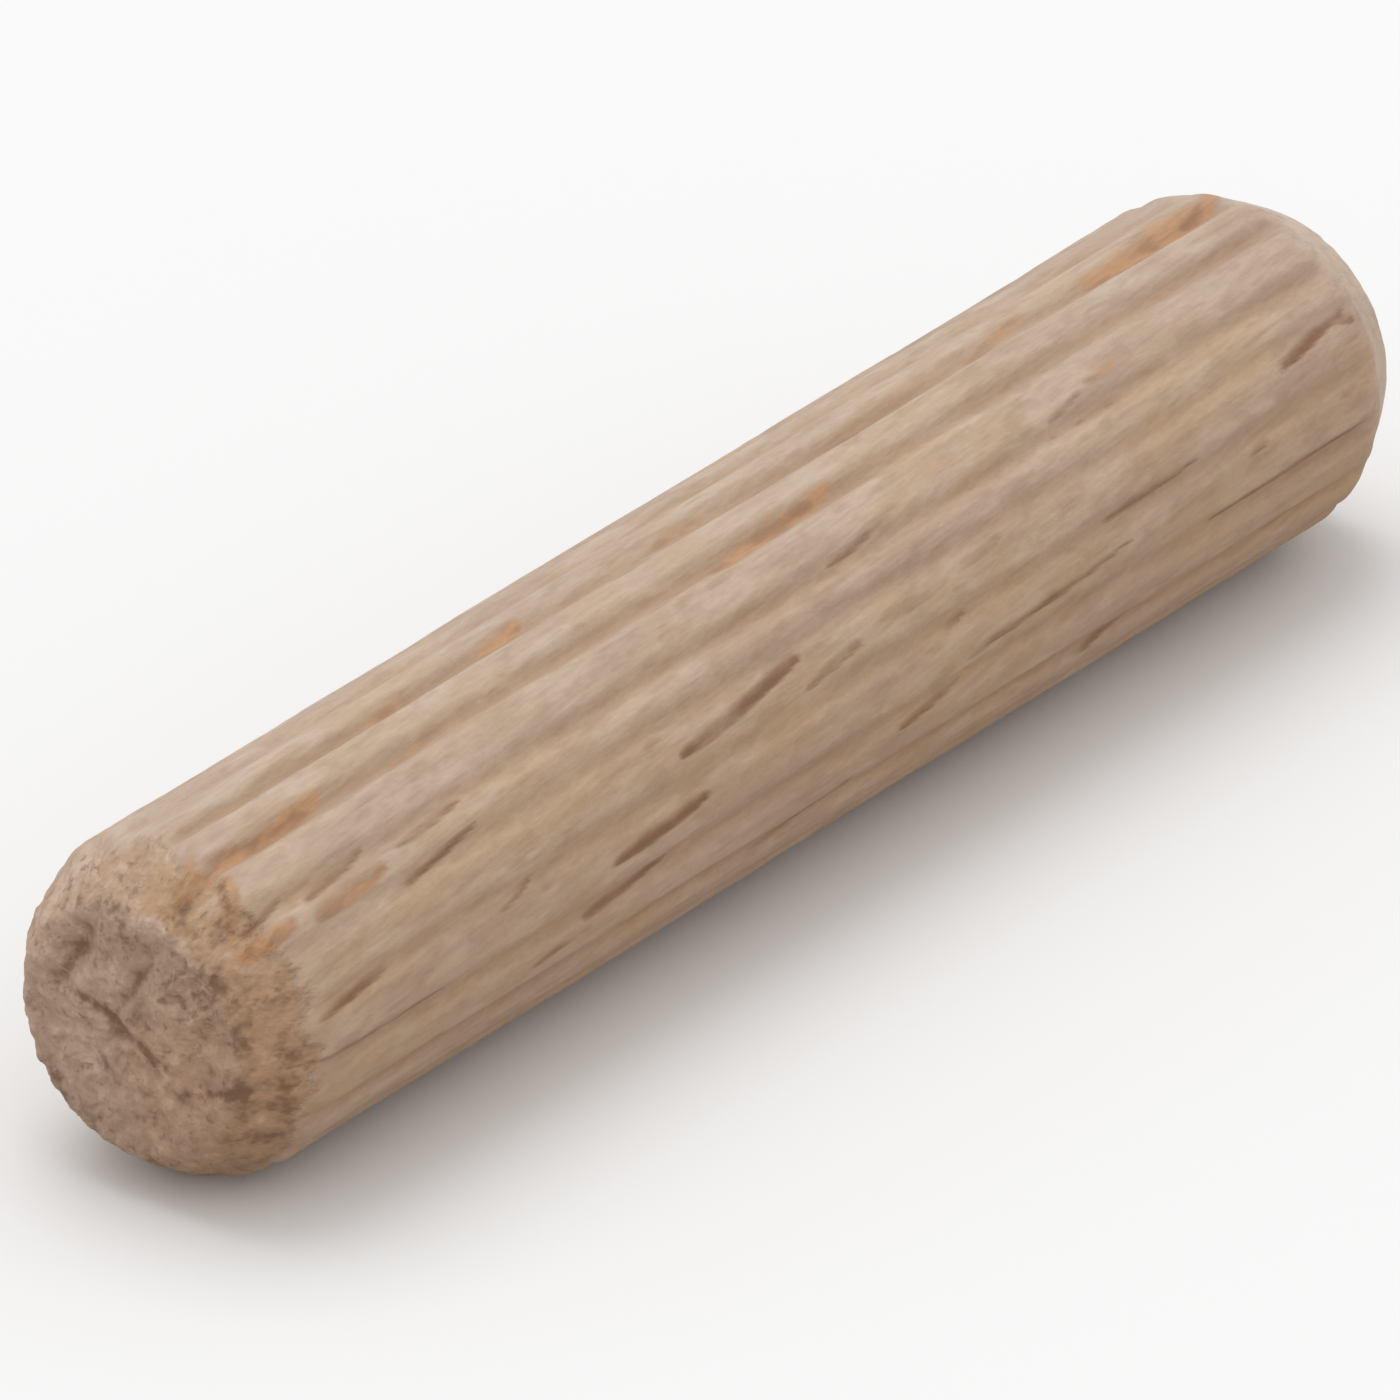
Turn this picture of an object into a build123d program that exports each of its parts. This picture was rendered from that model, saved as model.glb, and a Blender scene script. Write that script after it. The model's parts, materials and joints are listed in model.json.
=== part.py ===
from build123d import *
import os

# Fluted dowel pin for joining two boards: one piece of turned beech, with straight pressed flutes
# round the shank and a cone at each end that leads it into its hole.
#
# Frame, in millimetres: +X runs along the pin and +Z is up. The origin is under the pin's middle,
# on the surface that the pin lies on. One flute faces straight down, so the pin rests on the two
# ridges beside it.

# Driving sizes
diameter = 8.0  # over the ridges, which is the size of the hole
length = 40.0  # from end face to end face
cone_length = 1.9  # each end's cone, measured along the pin
cone_depth = 1.1  # how far the cone comes in from the shank, measured on the radius
shoulder_radius = 0.6  # soft corner where the cone meets the shank
flute_count = 20
flute_depth = 0.24  # from the ridges to the bottom of a flute
flute_radius = 0.38  # the round that presses a flute
outline_margin = 0.02  # the turned outline clears the ridges by this much, so that only its ends trim

# Sizes that follow from them
shank_radius = diameter / 2
half_length = length / 2
end_face_radius = shank_radius - cone_depth
flute_centre_radius = shank_radius - flute_depth + flute_radius
outline_radius = shank_radius + outline_margin
outline_cone_length = cone_length * (cone_depth + outline_margin) / cone_depth

# How high the axis lies when the corners of the two ridges beside the lowest flute touch the surface
axis_height = (shank_radius**2 + flute_centre_radius**2 - flute_radius**2) / (2 * flute_centre_radius)

middle = (0, 0, axis_height)
across = Plane(origin=middle, x_dir=(0, 1, 0), z_dir=(1, 0, 0))
along = Plane(origin=middle, x_dir=(1, 0, 0), z_dir=(0, -1, 0))
pin_axis = Axis(middle, (1, 0, 0))
straight_down = -90  # degrees, in the plane across the pin

# The pin: a fluted section run along its length, then kept inside the turned outline
with BuildPart() as dowel_pin:
    with BuildSketch(across) as fluted_section:
        Circle(shank_radius)
        with PolarLocations(flute_centre_radius, flute_count, start_angle=straight_down):
            Circle(flute_radius, mode=Mode.SUBTRACT)
    extrude(amount=half_length, both=True)

    with BuildSketch(along) as turned_outline:
        with BuildLine():
            Polyline(
                (-half_length, 0),
                (-half_length, end_face_radius),
                (-half_length + outline_cone_length, outline_radius),
                (half_length - outline_cone_length, outline_radius),
                (half_length, end_face_radius),
                (half_length, 0),
                close=True,
            )
        make_face()
        shoulders = turned_outline.vertices().group_by(Axis.Y)[-1]
        fillet(shoulders, shoulder_radius)
    revolve(axis=pin_axis, mode=Mode.INTERSECT)

dowel_pin.part.label = "dowel_pin"

os.makedirs("parts", exist_ok=True)
export_step(dowel_pin.part, "parts/dowel_pin.step")

box = dowel_pin.part.bounding_box()
print(f"dowel_pin: {box.size.X:.3f} x {box.size.Y:.3f} x {box.size.Z:.3f} mm, lowest point {box.min.Z:.4f}")
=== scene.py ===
import json
import math

import bpy
import numpy as np
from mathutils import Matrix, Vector


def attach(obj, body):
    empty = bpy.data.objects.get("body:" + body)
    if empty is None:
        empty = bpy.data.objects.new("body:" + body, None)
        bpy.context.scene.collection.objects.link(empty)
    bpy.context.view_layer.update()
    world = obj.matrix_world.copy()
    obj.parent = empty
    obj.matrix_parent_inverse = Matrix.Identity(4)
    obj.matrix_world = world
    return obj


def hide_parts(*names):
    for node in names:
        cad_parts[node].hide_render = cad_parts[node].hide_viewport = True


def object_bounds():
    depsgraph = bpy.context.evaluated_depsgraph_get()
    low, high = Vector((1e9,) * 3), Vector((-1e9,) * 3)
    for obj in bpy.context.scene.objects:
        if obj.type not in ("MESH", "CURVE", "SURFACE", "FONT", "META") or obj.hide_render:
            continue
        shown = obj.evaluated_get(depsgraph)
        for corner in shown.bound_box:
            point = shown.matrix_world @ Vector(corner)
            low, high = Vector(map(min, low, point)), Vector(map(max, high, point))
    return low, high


# A fluted wooden dowel pin, lying on a pale floor. The pin is one piece of beech, built as one mesh:
# a turned outline with pressed flutes, torn fibres round its shoulders and rough end grain.
#
# The scene is in metres. The shape is worked out in millimetres, in the pin's own terms:
#   along   distance from the near end face, 0 to 40
#   around  degrees round the axis, 0 at the top, 90 at the front (-Y), 180 at the floor

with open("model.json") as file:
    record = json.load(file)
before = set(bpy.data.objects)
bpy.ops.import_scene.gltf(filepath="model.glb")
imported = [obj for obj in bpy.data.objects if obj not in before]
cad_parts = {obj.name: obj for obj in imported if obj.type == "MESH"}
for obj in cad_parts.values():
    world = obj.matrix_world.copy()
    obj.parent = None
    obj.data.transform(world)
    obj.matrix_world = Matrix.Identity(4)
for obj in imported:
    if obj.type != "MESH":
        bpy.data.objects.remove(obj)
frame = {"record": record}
cad_low, cad_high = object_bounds()


# ---------------------------------------------------------------- sizes

MM = 0.001
mounts = {mount["name"]: mount for mount in frame["record"]["mounts"]}
SHANK_RADIUS = mounts["shank"]["dims"]["r_mm"]
AXIS_HEIGHT = mounts["shank"]["pos_m"][2] / MM
LENGTH = (cad_high.x - cad_low.x) / MM
NEAR_X = cad_low.x / MM

CONE_LENGTH = 1.9
CONE_DEPTH = 1.1
END_RADIUS = SHANK_RADIUS - CONE_DEPTH
CONE_SLOPE = CONE_DEPTH / CONE_LENGTH
SHOULDER_BLEND = 0.16  # how softly the shank runs into a cone

FLUTE_NUMBERS = range(-9, 11)  # flute 0 is at the top
FLUTE_PITCH = 18.0
FLUTE_HALF_WIDTH = 6.0  # degrees from the middle of a flute to where the ridge starts
DEEPEST_FLUTE = 0.24

FIBRE_LEAN = -1.3  # degrees round the pin for each millimetre along it
FRONT = 48.0  # the direction round the pin that faces the camera most

# The mesh has rows of vertices along the pin, and rings inside each end face. They are closer together
# near the ends, and closest at the near one.
COLUMNS = 300
NEAR_STRETCH, NEAR_STEP = 3.0, 0.075
FAR_STRETCH, FAR_ROWS = 2.8, 30
MIDDLE_STEP = 0.17
NEAR_RINGS = 26
FAR_RINGS = 10

draws = np.random.RandomState(11)


# ---------------------------------------------------------------- noise

LATTICE = 64
lattices = {}


def lattice_noise(points, seed):
    """Smooth noise from 0 to 1 at each point, one lattice cell to the unit."""
    if seed not in lattices:
        lattices[seed] = np.random.RandomState(seed).rand(LATTICE, LATTICE, LATTICE)
    table = lattices[seed]
    cell = np.floor(points).astype(int)
    part = points - cell
    part = part * part * (3 - 2 * part)
    total = np.zeros(points.shape[:-1])
    for corner in np.ndindex(2, 2, 2):
        weight = np.ones(points.shape[:-1])
        for axis in range(3):
            weight = weight * (part[..., axis] if corner[axis] else 1 - part[..., axis])
        index = (cell + corner) % LATTICE
        total = total + weight * table[index[..., 0], index[..., 1], index[..., 2]]
    return total


def layered_noise(points, seed, layers=3, gain=0.5):
    """Noise about -1 to 1, each layer twice as fine as the last."""
    total = np.zeros(points.shape[:-1])
    size, height = 1.0, 1.0
    for layer in range(layers):
        total = total + height * (2 * lattice_noise(points * size + 7.3 * layer, seed + layer) - 1)
        size, height = size * 2.03, height * gain
    return total


def fibre_space(along, around, stretch, size):
    """Places for noise whose grains are stretch millimetres long and size millimetres wide. They lie
    along the pin, and lean a little as the fibres do."""
    turn = np.radians(around - FIBRE_LEAN * along)
    round_one, round_other = np.cos(turn) * SHANK_RADIUS / size, np.sin(turn) * SHANK_RADIUS / size
    return np.stack([along / stretch, round_one, round_other], -1)


def ease(value, low, high):
    """0 up to low and 1 from high on, or the other way round where low is above high."""
    part = np.clip((value - low) / (high - low), 0, 1)
    return part * part * (3 - 2 * part)


def soft_min(one, other, width):
    """The lower of two values, with a rounded change from one to the other."""
    part = np.clip(0.5 + 0.5 * (other - one) / width, 0, 1)
    return other * (1 - part) + one * part - width * part * (1 - part)


# ---------------------------------------------------------------- shank and cones

# Flutes from the top towards the front: how far each one lies from its even place, in degrees, and
# how deep it is pressed. The others are drawn at random.
SEEN_FLUTES = {
    -1: (-2.0, 0.13), 0: (-2.8, 0.23), 1: (-1.8, 0.24), 2: (2.4, 0.15), 3: (-1.0, 0.1),
    4: (0.2, 0.11), 5: (3.8, 0.16), 6: (4.2, 0.16), 7: (4.0, 0.12),
}
FLUTE_WANDER = 0.7  # degrees
FLUTE_CHANGE = 0.22  # how much a flute's depth changes along it, as a share

FIBRE_RELIEF = 0.014
LUMP_RELIEF = 0.018
TORN_RELIEF = 0.012


def turn_between(around, centre):
    """Degrees from centre to each place, -180 to 180."""
    return (around - centre + 180) % 360 - 180


def flute_depths(along, around):
    """How deep the flutes are, and how near to the middle of a deep one each place is, 0 to 1."""
    depth = np.zeros(along.shape)
    middle = np.zeros(along.shape)
    for number in FLUTE_NUMBERS:
        drawn = (draws.uniform(-1.3, 1.3), draws.uniform(0.11, 0.2))
        offset, deepest = SEEN_FLUTES.get(number, drawn)
        line = np.stack([along / 7, np.full(along.shape, number * 3.7), np.zeros(along.shape)], -1)
        wander = FLUTE_WANDER * layered_noise(line, 21, 2)
        change = 1 + FLUTE_CHANGE * layered_noise(line * 1.9, 31, 2)
        away = turn_between(around, number * FLUTE_PITCH + offset + wander) / FLUTE_HALF_WIDTH
        inside = np.clip(1 - np.abs(away), 0, 1)
        press = np.sin(inside * math.pi / 2) ** 2
        depth = np.maximum(depth, deepest * change * press)
        middle = np.maximum(middle, press * deepest * change / DEEPEST_FLUTE)
    return depth, middle


def side_surface(along, around):
    """The radius of the shank and both cones, how deep in a flute each place is, and how far it lies
    past the ragged edge of the end grain, in millimetres."""
    from_end = np.minimum(along, LENGTH - along)
    near = along < LENGTH / 2
    depth, middle = flute_depths(along, around)

    coarse = layered_noise(fibre_space(along, around, 1.1, 0.45), 41, 3)
    torn = layered_noise(fibre_space(along, around, 0.35, 0.3), 51, 3)
    fibres = layered_noise(fibre_space(along, around, 4.5, 0.5), 61, 3)
    lumps = layered_noise(fibre_space(along, around, 3.0, 1.6), 71, 2)
    splinters = layered_noise(fibre_space(along, around, 2.0, 0.7), 111, 3, 0.45)
    chunks = layered_noise(fibre_space(along, around, 0.55, 0.55), 121, 3, 0.6)

    shank = SHANK_RADIUS - depth - FIBRE_RELIEF * (1 + fibres) - LUMP_RELIEF * (1 + lumps)
    shank = shank - TORN_RELIEF * np.clip(torn, 0, 1)

    # The near cone is torn, and the far one is smoother
    ragged = np.where(near, 0.08, 0.05) * coarse + np.where(near, 0.17, 0.06) * splinters
    cone = END_RADIUS + CONE_SLOPE * from_end + np.where(near, 0.03, 0.006) * torn
    cone = cone + np.where(near, 0.07, 0.008) * chunks * ease(from_end, CONE_LENGTH + 0.1, CONE_LENGTH - 0.7)
    cone = cone + CONE_SLOPE * ragged * ease(from_end, 0.8, 1.6)
    rim = np.where(near, 0.24, 0.12) * np.exp(-from_end / np.where(near, 0.16, 0.1))
    cone = cone - rim * (1 + 0.45 * coarse + 0.3 * chunks)

    radius = soft_min(shank, cone, SHOULDER_BLEND)
    groove = middle * ease(from_end, CONE_LENGTH - 0.5, CONE_LENGTH + 0.6)
    end = np.where(near, 1.5, 1.35) - from_end - 1.6 * ragged
    return radius, groove, end


# ---------------------------------------------------------------- end faces

# Places on an end face are in millimetres from its middle: across is positive towards the front, and
# down is positive towards the floor. These broken lines and the worn patch are on the near one.
SPLIT = [(-0.8, -1.55), (-0.3, -0.8), (-0.1, -0.2), (0.3, 0.8), (0.55, 1.2)]
SIDE_SPLIT = [(-0.1, -0.55), (0.8, -0.8), (1.6, -1.05)]
LOW_SPLIT = [(1.0, 1.95), (1.9, 2.3)]
PIT = [(-0.85, -1.85), (-0.2, -2.0), (0.35, -2.25)]
WORN = (2.2, 0.1)
WORN_SIZE = (0.85, 0.95)

# Each line with its width and depth as a hollow, and with its width and change of tone as a dark line
HOLLOWS = [(SPLIT, 0.13, 0.1), (SIDE_SPLIT, 0.2, 0.06), (LOW_SPLIT, 0.12, 0.1), (PIT, 0.3, 0.26)]
DARK_LINES = [(SPLIT, 0.11, -1.1), (SIDE_SPLIT, 0.17, -0.7), (LOW_SPLIT, 0.09, -1.2), (PIT, 0.24, -1.3)]

DEEPEST_HOLLOW = 0.6
DEEPEST_FAR_HOLLOW = 0.1
FAR_MIDDLE_DEPTH = 0.02
RIM_REACH = 0.35  # how far past the rim an end face's hollows run out, along the cone


def face_places(around, radius):
    """Across and down, for places at these directions and radii."""
    turn = np.radians(around - FRONT)
    return radius * np.cos(turn), radius * np.sin(turn)


def line_distance(across, down, points):
    """Distance from a broken line on the end face."""
    best = np.full(across.shape, 99.0)
    for (x0, y0), (x1, y1) in zip(points, points[1:]):
        run = np.array([x1 - x0, y1 - y0])
        part = np.clip(((across - x0) * run[0] + (down - y0) * run[1]) / run.dot(run), 0, 1)
        best = np.minimum(best, np.hypot(across - x0 - part * run[0], down - y0 - part * run[1]))
    return best


def blob(across, down, place, size):
    """1 in the middle of an oval place on an end face, fading to 0 outside it."""
    return np.exp(-(((across - place[0]) / size[0]) ** 2 + ((down - place[1]) / size[1]) ** 2))


def near_face_depth(across, down):
    """How far the near end face lies behind its flat."""
    places = np.stack([across / 0.6, down / 0.6, np.zeros(across.shape)], -1)
    rough = layered_noise(places, 81, 4, 0.65)
    steps = layered_noise(places * 0.9 + 3.1, 86, 2)
    depth = 0.13 + 0.075 * rough + 0.07 * ease(steps, -0.08, 0.08)
    across_bent, down_bent = across + 0.09 * rough, down + 0.09 * steps
    for line, width, deepest in HOLLOWS:
        depth = depth + deepest * np.exp(-(line_distance(across_bent, down_bent, line) / width) ** 2)
    depth = depth - 0.06 * ease(across_bent - 0.4 * down_bent, 0.4, -0.1)
    depth = depth + 0.16 * blob(across, down, WORN, WORN_SIZE) * (0.6 + 0.8 * rough)
    return np.clip(depth, 0, DEEPEST_HOLLOW)


def far_face_depth(across, down):
    """How far the far end face lies behind its flat."""
    places = np.stack([across / 0.7, down / 0.7, np.ones(across.shape)], -1)
    return np.clip(0.02 + 0.018 * layered_noise(places, 91, 3), 0, DEEPEST_FAR_HOLLOW)


# ---------------------------------------------------------------- the whole surface

def end_cap(rim_radius, rings, depth_of):
    """Rings of an end face, from just inside the rim to just outside its middle."""
    parts = np.linspace(1, 0, rings + 1)[1:-1]
    ring_radius = parts[:, None] * rim_radius[None, :]
    ring_around = np.repeat(columns[None, :], len(parts), 0)
    return ring_around, ring_radius, depth_of(*face_places(ring_around, ring_radius))


def joined(*fields):
    """The side's values, then each end face's rings, then the two middles."""
    return np.concatenate([np.ravel(field) for field in fields])


near_rows = np.arange(0.0, NEAR_STRETCH, NEAR_STEP)
middle_rows = np.arange(NEAR_STRETCH, LENGTH - FAR_STRETCH, MIDDLE_STEP)
far_rows = np.linspace(LENGTH - FAR_STRETCH, LENGTH, FAR_ROWS)
rows = np.concatenate([near_rows, middle_rows, far_rows])
columns = np.arange(COLUMNS) * 360.0 / COLUMNS

along, around = np.meshgrid(rows, columns, indexing="ij")
radius, side_groove, side_end = side_surface(along, around)
near_around, near_radius, near_depth = end_cap(radius[0], NEAR_RINGS, near_face_depth)
far_around, far_radius, far_depth = end_cap(radius[-1], FAR_RINGS, far_face_depth)
near_middle_depth = near_face_depth(np.zeros(1), np.zeros(1))

# The rim follows the end face's own hollows, so that they run out over its edge
side_across, side_down = face_places(around, radius)
side_along = along + near_face_depth(side_across, side_down) * np.exp(-along / RIM_REACH)
side_along = side_along - far_face_depth(side_across, side_down) * np.exp(-(LENGTH - along) / RIM_REACH)

all_along = joined(side_along, near_depth, LENGTH - far_depth, near_middle_depth, LENGTH - FAR_MIDDLE_DEPTH)
all_around = joined(around, near_around, far_around, [0.0, 0.0])
all_radius = joined(radius, near_radius, far_radius, [0.0, 0.0])
cap_count = near_around.size + far_around.size + 2
groove = joined(side_groove, np.zeros(cap_count))
end = joined(side_end, np.full(cap_count, 2.0))

all_turn = np.radians(all_around)
pin_y = -all_radius * np.sin(all_turn)
pin_z = AXIS_HEIGHT + all_radius * np.cos(all_turn)
points = np.stack([NEAR_X + all_along, pin_y, pin_z], -1)
points = np.clip(points, np.array(cad_low) / MM, np.array(cad_high) / MM)


def ring_faces(first, second):
    """Quads between two rings of vertices, given by their first numbers."""
    step = np.arange(COLUMNS)
    after = (step + 1) % COLUMNS
    return np.stack([first + step, first + after, second + after, second + step], -1).tolist()


near_start = len(rows) * COLUMNS
far_start = near_start + near_around.size
side_rings = [row * COLUMNS for row in range(len(rows))]
near_rings = [side_rings[0]] + [near_start + ring * COLUMNS for ring in range(NEAR_RINGS - 1)]
far_rings = [side_rings[-1]] + [far_start + ring * COLUMNS for ring in range(FAR_RINGS - 1)]
near_centre, far_centre = len(points) - 2, len(points) - 1

faces = []
for first, second in zip(side_rings, side_rings[1:]):
    faces += ring_faces(first, second)
for outer, inner in zip(near_rings, near_rings[1:]):
    faces += ring_faces(inner, outer)
for outer, inner in zip(far_rings, far_rings[1:]):
    faces += ring_faces(outer, inner)
for step in range(COLUMNS):
    after = (step + 1) % COLUMNS
    faces.append([near_rings[-1] + after, near_rings[-1] + step, near_centre])
    faces.append([far_rings[-1] + step, far_rings[-1] + after, far_centre])


# ---------------------------------------------------------------- flecks and streaks

# Dark lens-shaped flecks: along and around at one tip, the same at the other, width in millimetres,
# strength.
FLECKS = [
    (1.0, 40, 2.4, 36, 0.22, 0.8), (2.8, 41, 5.1, 36, 0.24, 0.9), (5.8, 42, 8.2, 39, 0.2, 0.8),
    (5.5, 53, 8.2, 48, 0.2, 0.8), (10.3, 61, 11.5, 58, 0.2, 0.5), (12.3, 59, 14.2, 55, 0.2, 0.5),
    (14.3, 64, 18.8, 56, 0.34, 1.0), (18.5, 66, 20.6, 62, 0.26, 0.8), (1.7, 76, 4.2, 72, 0.24, 0.8),
    (7.8, 76, 9.1, 72, 0.22, 0.7), (11.5, 83, 14.9, 79, 0.32, 1.0), (1.0, 90, 5.8, 90, 0.14, 0.8),
    (10.5, 96, 13.5, 92, 0.24, 0.9), (8.8, 102, 10.9, 99, 0.22, 0.8), (16.7, 113, 20.0, 106, 0.28, 0.8),
    (5.1, 111, 6.0, 107, 0.24, 0.7), (0.8, 98, 1.4, 95, 0.22, 0.7), (3.0, -1, 5.8, -2, 0.28, 0.6),
    (16.4, 0, 17.9, -1, 0.2, 0.6), (21.0, -1, 26.2, -2, 0.26, 0.6), (20.9, 37, 22.6, 34, 0.22, 0.8),
    (22.0, 35, 23.7, 31, 0.2, 0.5), (28.7, 35, 30.1, 31, 0.2, 0.6), (35.4, 59, 38.1, 52, 0.26, 0.9),
    (37.7, 54, 38.3, 57, 0.26, 0.8), (22.0, 62, 23.8, 60, 0.2, 0.5), (24.0, 60, 25.8, 57, 0.2, 0.5),
    (28.8, 71, 32.2, 69, 0.2, 0.8), (23.2, 74, 24.1, 72, 0.2, 0.7), (23.7, 87, 29.6, 81, 0.18, 0.8),
    (32.3, 92, 37.8, 90, 0.18, 0.9), (21.4, 98, 23.7, 93, 0.22, 0.8), (28.2, 116, 30.0, 109, 0.26, 0.8),
    (33.7, 78, 34.5, 76, 0.2, 0.7), (37.0, 77, 37.7, 75, 0.2, 0.6), (34.5, 112, 36.0, 110, 0.2, 0.5),
    (30.3, 104, 31.5, 102, 0.2, 0.5), (0.9, 36, 1.5, 20, 0.2, 0.7),
]
SPOT_ROW = [25.6, 26.5, 27.3, 28.4, 29.4, 30.4]  # a broken row of small spots, along the pin
SPOT_ROW_AROUND = 40

# Orange and tan streaks of darker wood, given in the same way
AMBER = [
    (12.2, -4, 13.9, -8, 0.5, 1.0), (8.2, -3, 10.0, -6, 0.4, 0.6), (18.2, -5, 20.1, -8, 0.55, 0.5),
    (0.6, 15, 2.8, 14, 0.5, 1.0), (2.6, 15, 5.5, 12, 0.5, 1.0), (7.5, 16, 9.1, 14, 0.4, 0.5),
    (18.3, 18, 22.9, 12, 0.55, 1.0), (0.7, 46, 2.3, 44, 0.45, 0.9), (2.7, 47, 5.3, 44, 0.5, 0.9),
    (28.8, -4, 31.4, -8, 0.6, 0.5), (33.2, -5, 38.4, -10, 0.9, 1.0), (24.8, 28, 26.0, 26, 0.38, 0.6),
    (28.7, 10, 29.7, 8, 0.32, 0.4), (30.3, 29, 31.5, 28, 0.3, 0.8), (0.9, 39, 1.7, 19, 0.3, 0.9),
    (0.8, 12, 1.6, 7, 0.25, 0.8),
]

# The back and the underside, which carry marks of the same kinds, at random
HIDDEN_FROM, HIDDEN_TO = 140, 315
HIDDEN_FLECKS = 46
HIDDEN_STREAKS = 13
LAST_MARK_END = 38.5

# A little noise that makes the marks' edges and strength uneven
warp = layered_noise(fibre_space(all_along, all_around, 0.8, 0.4), 101, 2)
fleck = np.zeros(len(points))
amber = np.zeros(len(points))


def paint(field, mark):
    """Adds one lens-shaped mark to a field: sharp along its lower edge and soft along its upper one."""
    along0, around0, along1, around1, width, strength = mark
    middle_along, middle_around = (along0 + along1) / 2, (around0 + around1) / 2
    turn = turn_between(all_around, middle_around)
    reach = np.abs(all_along - middle_along) < abs(along1 - along0) / 2 + 1.0
    reach &= np.abs(turn) < 25
    mm_per_degree = math.radians(SHANK_RADIUS)
    place = np.stack([all_along[reach] - middle_along, turn[reach] * mm_per_degree], -1)
    run = np.array([along1 - along0, (around1 - around0) * mm_per_degree])
    half = np.hypot(*run) / 2
    run = run / (2 * half)
    lengthwise = place @ run
    sidewise = place @ np.array([-run[1], run[0]]) + 0.03 * warp[reach]
    taper = np.sqrt(np.clip(1 - (lengthwise / (half + 0.12)) ** 2, 0.01, 1))
    sidewise = sidewise / (0.62 * width * taper + 0.03)
    across = ease(sidewise, -1.5, 0.5) * ease(sidewise, 1.25, 0.6)
    past_tip = ease(np.abs(lengthwise), half + 0.25, half - 0.2)
    patchy = 1 + 0.25 * warp[reach]
    field[reach] = np.maximum(field[reach], strength * patchy * across * past_tip)


for mark in FLECKS:
    paint(fleck, mark)
for start in SPOT_ROW:
    paint(fleck, (start, SPOT_ROW_AROUND, start + 0.4, SPOT_ROW_AROUND - 1, 0.1, 0.6))
for mark in AMBER:
    paint(amber, mark)

for count in range(HIDDEN_FLECKS):
    start, turn = draws.uniform(1.5, 36), draws.uniform(HIDDEN_FROM, HIDDEN_TO)
    run, lean = draws.uniform(1.0, 4.2), draws.uniform(-1.8, -0.6)
    width, strength = draws.uniform(0.18, 0.3), draws.uniform(0.45, 0.95)
    paint(fleck, (start, turn, min(start + run, LAST_MARK_END), turn + run * lean, width, strength))
for count in range(HIDDEN_STREAKS):
    start, turn = draws.uniform(1.0, 34), draws.uniform(HIDDEN_FROM, HIDDEN_TO)
    run, width = draws.uniform(1.5, 4.5), draws.uniform(0.35, 0.6)
    strength = draws.uniform(0.5, 1.0)
    paint(amber, (start, turn, min(start + run, LAST_MARK_END), turn - run, width, strength))


# ---------------------------------------------------------------- tone and warmth of the ends

# Tone 0 is plain end grain, -1 is dark and +1 pale. Warmth 0 is plain, +1 is a yellowish brown, and
# -0.7 is the smooth, pale wood of the far end.
FAR_TONE, FAR_WARMTH = 0.35, -0.7

# Round the near cone: the middle of a patch, its half width, both in degrees, and its change
CONE_TONES = [(-36, 30, 0.65), (12, 9, -0.3), (40, 18, -0.3), (66, 12, -0.2), (112, 24, -0.5)]
WARM_PATCH = (14, 14)
PITTED_PATCH = (-25, 40)

# On the near end face: place, size and change of tone
FACE_TONES = [
    ((0.2, -1.3), (0.5, 0.4), 0.55), ((-1.7, -0.5), (0.6, 0.5), 0.5), ((1.0, 0.1), (0.5, 0.4), 0.5),
    ((0.8, 1.1), (0.35, 0.35), 0.5), ((-0.5, 0.9), (0.5, 0.5), 0.25), ((-1.3, -2.2), (0.5, 0.3), 0.8),
    ((-0.8, 0.1), (0.32, 0.28), -0.6), ((1.75, -0.2), (0.16, 0.14), -0.9), ((1.9, 0.7), (0.28, 0.2), -1.0),
    ((0.4, 1.7), (0.14, 0.12), -1.0), ((-1.5, 0.45), (0.35, 0.15), -0.5), ((-1.0, 1.4), (0.25, 0.15), -0.6),
    ((-2.6, 0.1), (0.3, 0.5), -0.5), ((-0.4, 2.5), (0.8, 0.3), -0.4), ((1.8, 2.0), (0.8, 0.4), -0.6),
]

all_across, all_down = face_places(all_around, all_radius)
is_near = all_along < LENGTH / 2
on_near_end = is_near * ease(all_along, 2.2, 1.2)
on_near_cone = is_near * ease(all_radius, END_RADIUS - 0.1, END_RADIUS + 0.15)


def cone_patch(centre, half_width):
    """1 on one side of the near cone, fading out round it."""
    return on_near_cone * np.exp(-(turn_between(all_around, centre) / half_width) ** 2)


tone = np.where(is_near, 0.0, FAR_TONE)
for centre, half_width, change in CONE_TONES:
    tone += change * cone_patch(centre, half_width)
for place, size, change in FACE_TONES:
    tone += change * on_near_end * blob(all_across + 0.1 * warp, all_down, place, size)
for line, width, change in DARK_LINES:
    nearness = np.exp(-(line_distance(all_across + 0.07 * warp, all_down, line) / width) ** 2)
    tone += change * on_near_end * nearness

warmth = np.where(is_near, 0.0, FAR_WARMTH)
warmth += 0.5 * on_near_cone + 0.5 * cone_patch(*WARM_PATCH)

# Where the near end is the most pitted
pits = is_near * ease(all_along, 2.3, 1.3) * blob(all_across, all_down, WORN, WORN_SIZE)
pits += 0.45 * cone_patch(*PITTED_PATCH)

# Painted shade: the colour turns a little browner and darker from the back and top to the front and
# underside, where the pin is shaded
SHADED_SIDE = 110
shade = ease(np.cos(np.radians(all_around - SHADED_SIDE)), -0.3, 1.0)


# ---------------------------------------------------------------- the pin's mesh

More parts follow.
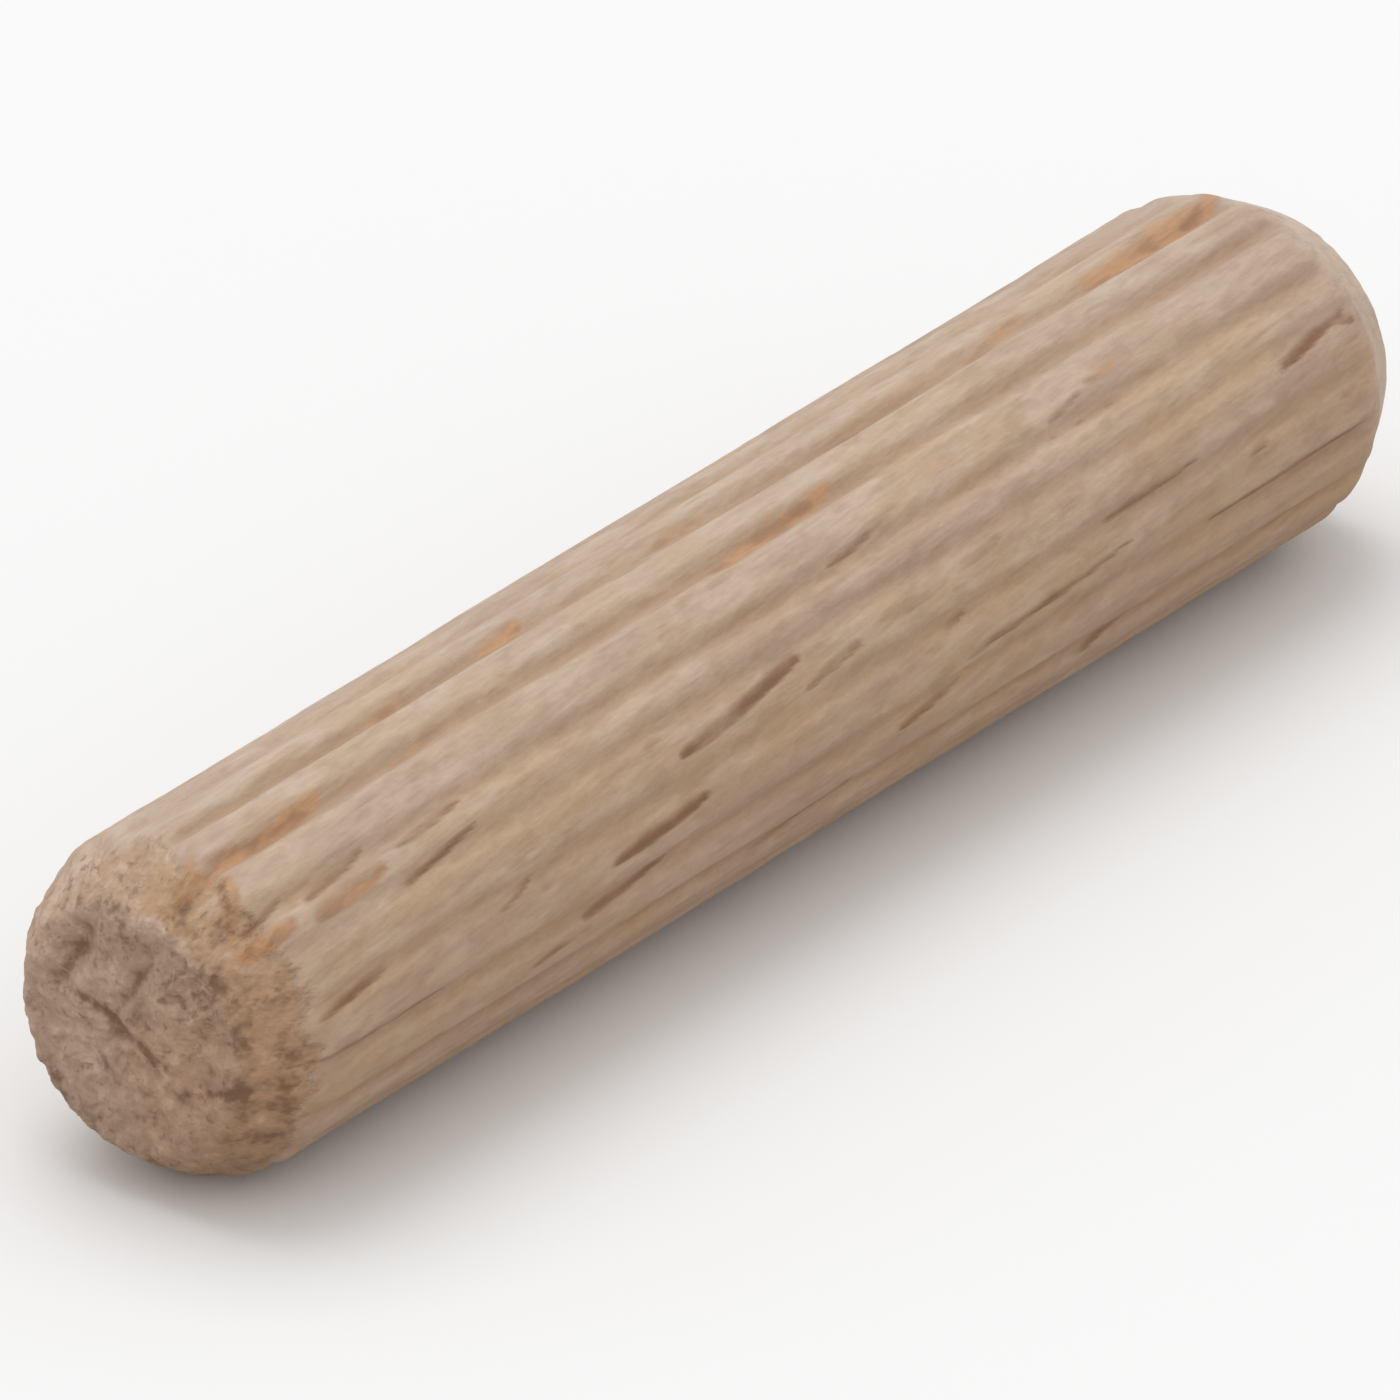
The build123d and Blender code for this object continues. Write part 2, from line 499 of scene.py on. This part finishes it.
mesh = bpy.data.meshes.new("dowel_pin_wood")
mesh.from_pydata((points * MM).tolist(), [], faces)
mesh.update()
mesh.shade_smooth()
fields = {
    "fleck": fleck, "amber": amber, "groove": groove, "end": end,
    "tone": tone, "warmth": warmth, "pits": pits, "shade": shade,
}
for name, field in fields.items():
    layer = mesh.attributes.new(name, "FLOAT", "POINT")
    layer.data.foreach_set("value", field.astype(np.float32))
pin = bpy.data.objects.new("dowel_pin_wood", mesh)
bpy.context.scene.collection.objects.link(pin)


# ---------------------------------------------------------------- nodes

class Nodes:
    """The nodes of a material or world. Values may be numbers, colours or the outputs of other nodes."""

    def __init__(self, owner):
        owner.use_nodes = True
        self.tree = owner.node_tree
        self.tree.nodes.clear()

    def add(self, kind, settings=None, **inputs):
        made = self.tree.nodes.new(kind)
        for key, value in (settings or {}).items():
            setattr(made, key, value)
        for key, value in inputs.items():
            self.feed(made.inputs[key.replace("_", " ")], value)
        return made

    def feed(self, socket, value):
        if isinstance(value, bpy.types.NodeSocket):
            self.tree.links.new(value, socket)
        else:
            socket.default_value = value

    def math(self, operation, one, other=0.0):
        made = self.add("ShaderNodeMath", {"operation": operation})
        self.feed(made.inputs[0], one)
        self.feed(made.inputs[1], other)
        return made.outputs[0]

    def steps(self, value, low, high, to_low=0.0, to_high=1.0):
        """Eases from one level to another as the value passes from low to high."""
        made = self.add("ShaderNodeMapRange", {"interpolation_type": "SMOOTHSTEP"}, Value=value)
        for key, number in zip(("From Min", "From Max", "To Min", "To Max"), (low, high, to_low, to_high)):
            made.inputs[key].default_value = number
        return made.outputs[0]

    def centred(self, value, share):
        """How far a noise is above its middle, times a share."""
        return self.math("MULTIPLY", self.math("SUBTRACT", value, 0.5), share)

    def mix(self, factor, one, other, blend="MIX"):
        made = self.add("ShaderNodeMix", {"data_type": "RGBA", "blend_type": blend})
        self.feed(made.inputs[0], factor)
        for socket, value in ((made.inputs[6], one), (made.inputs[7], other)):
            self.feed(socket, (*value, 1.0) if isinstance(value, tuple) else value)
        return made.outputs[2]

    def attribute(self, name):
        return self.add("ShaderNodeAttribute", {"attribute_name": name}).outputs["Fac"]

    def noise(self, places, stretch, detail=2.0, roughness=0.5):
        """Noise whose grains are about 1 / stretch millimetres along, across and across."""
        scaled = self.add("ShaderNodeVectorMath", {"operation": "MULTIPLY"})
        self.feed(scaled.inputs[0], places)
        scaled.inputs[1].default_value = stretch
        made = self.add("ShaderNodeTexNoise", Vector=scaled.outputs[0], Scale=1.0)
        self.feed(made.inputs["Detail"], detail)
        self.feed(made.inputs["Roughness"], roughness)
        return made.outputs["Fac"]

    def output(self, kind, made):
        self.tree.links.new(made.outputs[0], self.add(kind).inputs["Surface"])


# ---------------------------------------------------------------- bare beech

PINKISH = (0.565, 0.415, 0.318)
YELLOWISH = (0.6, 0.437, 0.3)
CREAM = (0.66, 0.52, 0.41)
STREAK = (0.42, 0.275, 0.182)
FLECK_BROWN = (0.25, 0.118, 0.056)
AMBER_TAN = (0.62, 0.33, 0.15)
AMBER_BROWN = (0.4, 0.2, 0.1)
# the flutes' darker tan, partly the wood's colour and partly painted shade
GROOVE_TAN_AND_SHADE = (0.47, 0.305, 0.19)
END_PLAIN = (0.545, 0.375, 0.278)
END_PALE = (0.68, 0.51, 0.385)
END_DARK = (0.235, 0.135, 0.08)
END_WARM = (0.55, 0.345, 0.2)
END_SMOOTH = (0.58, 0.445, 0.35)
# the tint of the painted shade on the front and underside
SHADE_TINT = (1.0, 0.93, 0.85)
GRAIN_LEAN = math.radians(-5.0)
GRAIN_LEAN_AXIS = (0, -0.89, 0.45)  # points out through the seen side
BUMP_HEIGHT = 0.045

wood_material = bpy.data.materials.new("bare_beech")
wood = Nodes(wood_material)
object_places = wood.add("ShaderNodeTexCoord").outputs["Object"]
in_mm = wood.add("ShaderNodeVectorMath", {"operation": "SCALE"}, Vector=object_places, Scale=1 / MM)
in_mm = in_mm.outputs[0]
leaning = wood.add("ShaderNodeVectorRotate", {"rotation_type": "AXIS_ANGLE"}, Vector=in_mm,
                   Axis=GRAIN_LEAN_AXIS, Angle=GRAIN_LEAN)
grain = leaning.outputs[0]

# Noise along the grain, from broad to fine
patches = wood.noise(grain, (0.16, 0.75, 0.75), 3.0, 0.55)
clouds = wood.noise(grain, (0.5, 1.5, 1.5), 2.0, 0.5)
tufts = wood.noise(grain, (0.9, 2.4, 2.4), 2.0, 0.5)
streaks = wood.noise(grain, (0.3, 2.6, 2.6), 3.0, 0.55)
short = wood.noise(grain, (0.55, 4.2, 4.2), 2.0, 0.5)
fibres = wood.noise(grain, (1.1, 9.0, 9.0), 2.0, 0.5)
fuzz = wood.noise(in_mm, (5.0, 8.0, 8.0), 3.0, 0.6)
broken = wood.math("ADD", wood.centred(short, 0.55), wood.centred(fuzz, 0.45))

# The shank: pinkish and yellowish patches, cream clouds, darker streaks and tan flutes. The flutes get fewer
# clouds and a darker tan by their depth, partly the wood's own colour there and partly painted shade in their
# hollows
grooves = wood.attribute("groove")
body = wood.mix(wood.steps(patches, 0.38, 0.62), PINKISH, YELLOWISH)
pale = wood.math("SUBTRACT", clouds, wood.math("MULTIPLY", grooves, 0.2))
body = wood.mix(wood.steps(pale, 0.42, 0.66, 0.0, 0.7), body, CREAM)
body = wood.mix(wood.steps(tufts, 0.5, 0.34, 0.0, 0.3), body, STREAK)
body = wood.mix(wood.steps(streaks, 0.52, 0.74, 0.0, 0.3), body, STREAK)
body = wood.mix(wood.steps(short, 0.62, 0.74, 0.0, 0.3), body, STREAK)
# Partly painted shade: the flutes are darkened by how deep they are
groove_tan_and_shade = wood.math("ADD", grooves, wood.centred(tufts, 1.6))
body = wood.mix(wood.steps(groove_tan_and_shade, 0.2, 1.1, 0.0, 0.8), body, GROOVE_TAN_AND_SHADE)

# The end grain: pale and dark flakes, pores and pits
end_patches = wood.noise(in_mm, (1.2, 1.5, 1.5), 1.5, 0.5)
end_flakes = wood.noise(in_mm, (2.6, 3.4, 3.4), 2.0, 0.5)
end_pores = wood.noise(in_mm, (4.0, 8.0, 8.0), 2.0, 0.5)
level = wood.attribute("tone")
for noise, share in ((end_patches, 3.4), (end_flakes, 2.9), (end_pores, 0.6)):
    level = wood.math("ADD", level, wood.centred(noise, share))
end_warmth = wood.attribute("warmth")
rough_end = wood.steps(end_warmth, FAR_WARMTH, 0.0)
end_colour = wood.mix(wood.steps(end_warmth, 0.0, 1.0), END_PLAIN, END_WARM)
end_colour = wood.mix(rough_end, END_SMOOTH, end_colour)
end_colour = wood.mix(wood.steps(level, 0.0, 1.1, 0.0, 0.85), end_colour, END_PALE)
end_colour = wood.mix(wood.steps(level, 0.0, -1.5, 0.0, 0.9), end_colour, END_DARK)
pit_noise = wood.noise(in_mm, (3.2, 3.6, 3.6), 3.0, 0.55)
pit_mask = wood.math("ADD", pit_noise, wood.math("MULTIPLY", wood.attribute("pits"), 0.14))
pit_mask = wood.math("MULTIPLY", wood.steps(pit_mask, 0.58, 0.76), rough_end)
end_colour = wood.mix(wood.math("MULTIPLY", pit_mask, 0.62), end_colour, END_DARK)
end_edge = wood.math("ADD", wood.attribute("end"), wood.math("MULTIPLY", broken, 0.7))
end_mask = wood.steps(end_edge, -0.16, 0.16)
colour = wood.mix(end_mask, body, end_colour)

# The streaks and flecks, then the painted shade of the front and underside and the finest fibres over
# everything
amber_edge = wood.math("ADD", wood.attribute("amber"), wood.math("MULTIPLY", broken, 1.6))
amber_mask = wood.steps(amber_edge, 0.1, 1.05)
amber_colour = wood.mix(wood.steps(tufts, 0.38, 0.6), AMBER_TAN, AMBER_BROWN)
colour = wood.mix(wood.math("MULTIPLY", amber_mask, 0.72), colour, amber_colour)
fleck_mask = wood.steps(wood.math("ADD", wood.attribute("fleck"), broken), 0.15, 1.1)
colour = wood.mix(wood.math("MULTIPLY", fleck_mask, 0.9), colour, FLECK_BROWN)
# Painted shade: the front and underside are tinted browner and darker
colour = wood.mix(wood.attribute("shade"), colour, wood.mix(1.0, colour, SHADE_TINT, "MULTIPLY"))
fine = wood.math("ADD", wood.steps(fibres, 0.3, 0.7, 0.95, 1.05), wood.steps(fuzz, 0.3, 0.7, -0.03, 0.03))
fine_colour = wood.add("ShaderNodeCombineColor", Red=fine, Green=fine, Blue=fine)
colour = wood.mix(1.0, colour, fine_colour.outputs[0], "MULTIPLY")

# The smooth far end is a little glossier
smooth_end = wood.math("MULTIPLY", end_mask, wood.math("SUBTRACT", 1.0, rough_end))
roughness = wood.steps(fibres, 0.3, 0.7, 0.72, 0.88)
roughness = wood.math("SUBTRACT", roughness, wood.math("MULTIPLY", smooth_end, 0.25))

relief = wood.math("ADD", wood.math("MULTIPLY", fibres, 0.35), wood.math("MULTIPLY", fuzz, 0.35))
relief = wood.math("ADD", relief, wood.math("MULTIPLY", wood.math("ADD", streaks, tufts), 0.6))
relief = wood.math("SUBTRACT", relief, wood.math("MULTIPLY", fleck_mask, 0.5))
pit_relief = wood.math("MULTIPLY", pit_mask, 0.4)
end_relief = wood.math("SUBTRACT", wood.math("MULTIPLY", end_flakes, 2.3), pit_relief)
end_relief = wood.math("MULTIPLY", end_relief, wood.math("MULTIPLY", end_mask, rough_end))
relief = wood.math("ADD", relief, end_relief)
bump = wood.add("ShaderNodeBump", Strength=1.0, Distance=BUMP_HEIGHT * MM, Height=relief)

surface = wood.add("ShaderNodeBsdfPrincipled", Base_Color=colour, Roughness=roughness, Normal=bump.outputs[0])
surface.inputs["Specular IOR Level"].default_value = 0.4
surface.inputs["Sheen Weight"].default_value = 0.12
surface.inputs["Sheen Roughness"].default_value = 0.6
wood.output("ShaderNodeOutputMaterial", surface)
mesh.materials.append(wood_material)

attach(pin, "root")
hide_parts("dowel_pin")


# ---------------------------------------------------------------- floor

FLOOR_HALF = 1.5
FLOOR_SHOWN = (1.0, 1.0, 1.0)  # what the camera and reflections see
FLOOR_BOUNCE = (0.46, 0.41, 0.36)  # what lights the pin from below

floor_mesh = bpy.data.meshes.new("floor")
corners = [(x * FLOOR_HALF, y * FLOOR_HALF, 0) for x, y in ((-1, -1), (1, -1), (1, 1), (-1, 1))]
floor_mesh.from_pydata(corners, [], [(0, 1, 2, 3)])
floor = bpy.data.objects.new("floor", floor_mesh)
bpy.context.scene.collection.objects.link(floor)

floor_material = bpy.data.materials.new("pale_floor")
ground = Nodes(floor_material)
rays = ground.add("ShaderNodeLightPath")
seen = ground.math("MAXIMUM", rays.outputs["Is Camera Ray"], rays.outputs["Is Glossy Ray"])
seen = ground.math("MAXIMUM", seen, rays.outputs["Is Transmission Ray"])
ground_surface = ground.add("ShaderNodeBsdfDiffuse", Color=ground.mix(seen, FLOOR_BOUNCE, FLOOR_SHOWN))
ground.output("ShaderNodeOutputMaterial", ground_surface)
floor_mesh.materials.append(floor_material)


# ---------------------------------------------------------------- light

WORLD_LEVEL = 0.74
LAMP_LEVEL = 0.23  # what the lamp adds to a white surface that faces it
LAMP_DIRECTION = Vector((0.06, 0.22, 0.62))  # from the pin to the lamp
LAMP_SPREAD = math.radians(45)

world = bpy.data.worlds.new("studio")
bpy.context.scene.world = world
studio = Nodes(world)
in_view = studio.add("ShaderNodeLightPath").outputs["Is Camera Ray"]
strength = studio.steps(in_view, 0.0, 1.0, WORLD_LEVEL, 1.0)
background = studio.add("ShaderNodeBackground", Color=(1, 1, 1, 1), Strength=strength)
studio.output("ShaderNodeOutputWorld", background)

lamp_data = bpy.data.lights.new("soft_lamp", "SUN")
lamp_data.energy = LAMP_LEVEL * math.pi
lamp_data.angle = LAMP_SPREAD
lamp = bpy.data.objects.new("soft_lamp", lamp_data)
lamp.location = LAMP_DIRECTION
lamp.rotation_euler = LAMP_DIRECTION.to_track_quat("Z", "Y").to_euler()
bpy.context.scene.collection.objects.link(lamp)


# ---------------------------------------------------------------- camera

CAMERA_AZIMUTH = math.radians(-51.72)
CAMERA_ELEVATION = math.radians(28.87)
CAMERA_DISTANCE = 0.788
CAMERA_LENS = 946.5
SENSOR_WIDTH = 36.0
AIM_RIGHT, AIM_UP = -0.308 * MM, -0.482 * MM  # where the camera aims, from the pin's middle

back = Vector((math.sin(CAMERA_AZIMUTH) * math.cos(CAMERA_ELEVATION),
               -math.cos(CAMERA_AZIMUTH) * math.cos(CAMERA_ELEVATION), math.sin(CAMERA_ELEVATION)))
right = Vector((0, 0, 1)).cross(back).normalized()
up = back.cross(right)
aim = Vector((0, 0, AXIS_HEIGHT * MM)) + right * AIM_RIGHT + up * AIM_UP
camera_data = bpy.data.cameras.new("camera")
camera_data.sensor_width = SENSOR_WIDTH
camera_data.lens = CAMERA_LENS
camera_data.clip_start = 0.01
camera_data.clip_end = 20.0
camera = bpy.data.objects.new("camera", camera_data)
camera.location = aim + back * CAMERA_DISTANCE
camera.rotation_euler = back.to_track_quat("Z", "Y").to_euler()
bpy.context.scene.collection.objects.link(camera)
bpy.context.scene.camera = camera

bpy.context.scene.view_settings.view_transform = "Standard"
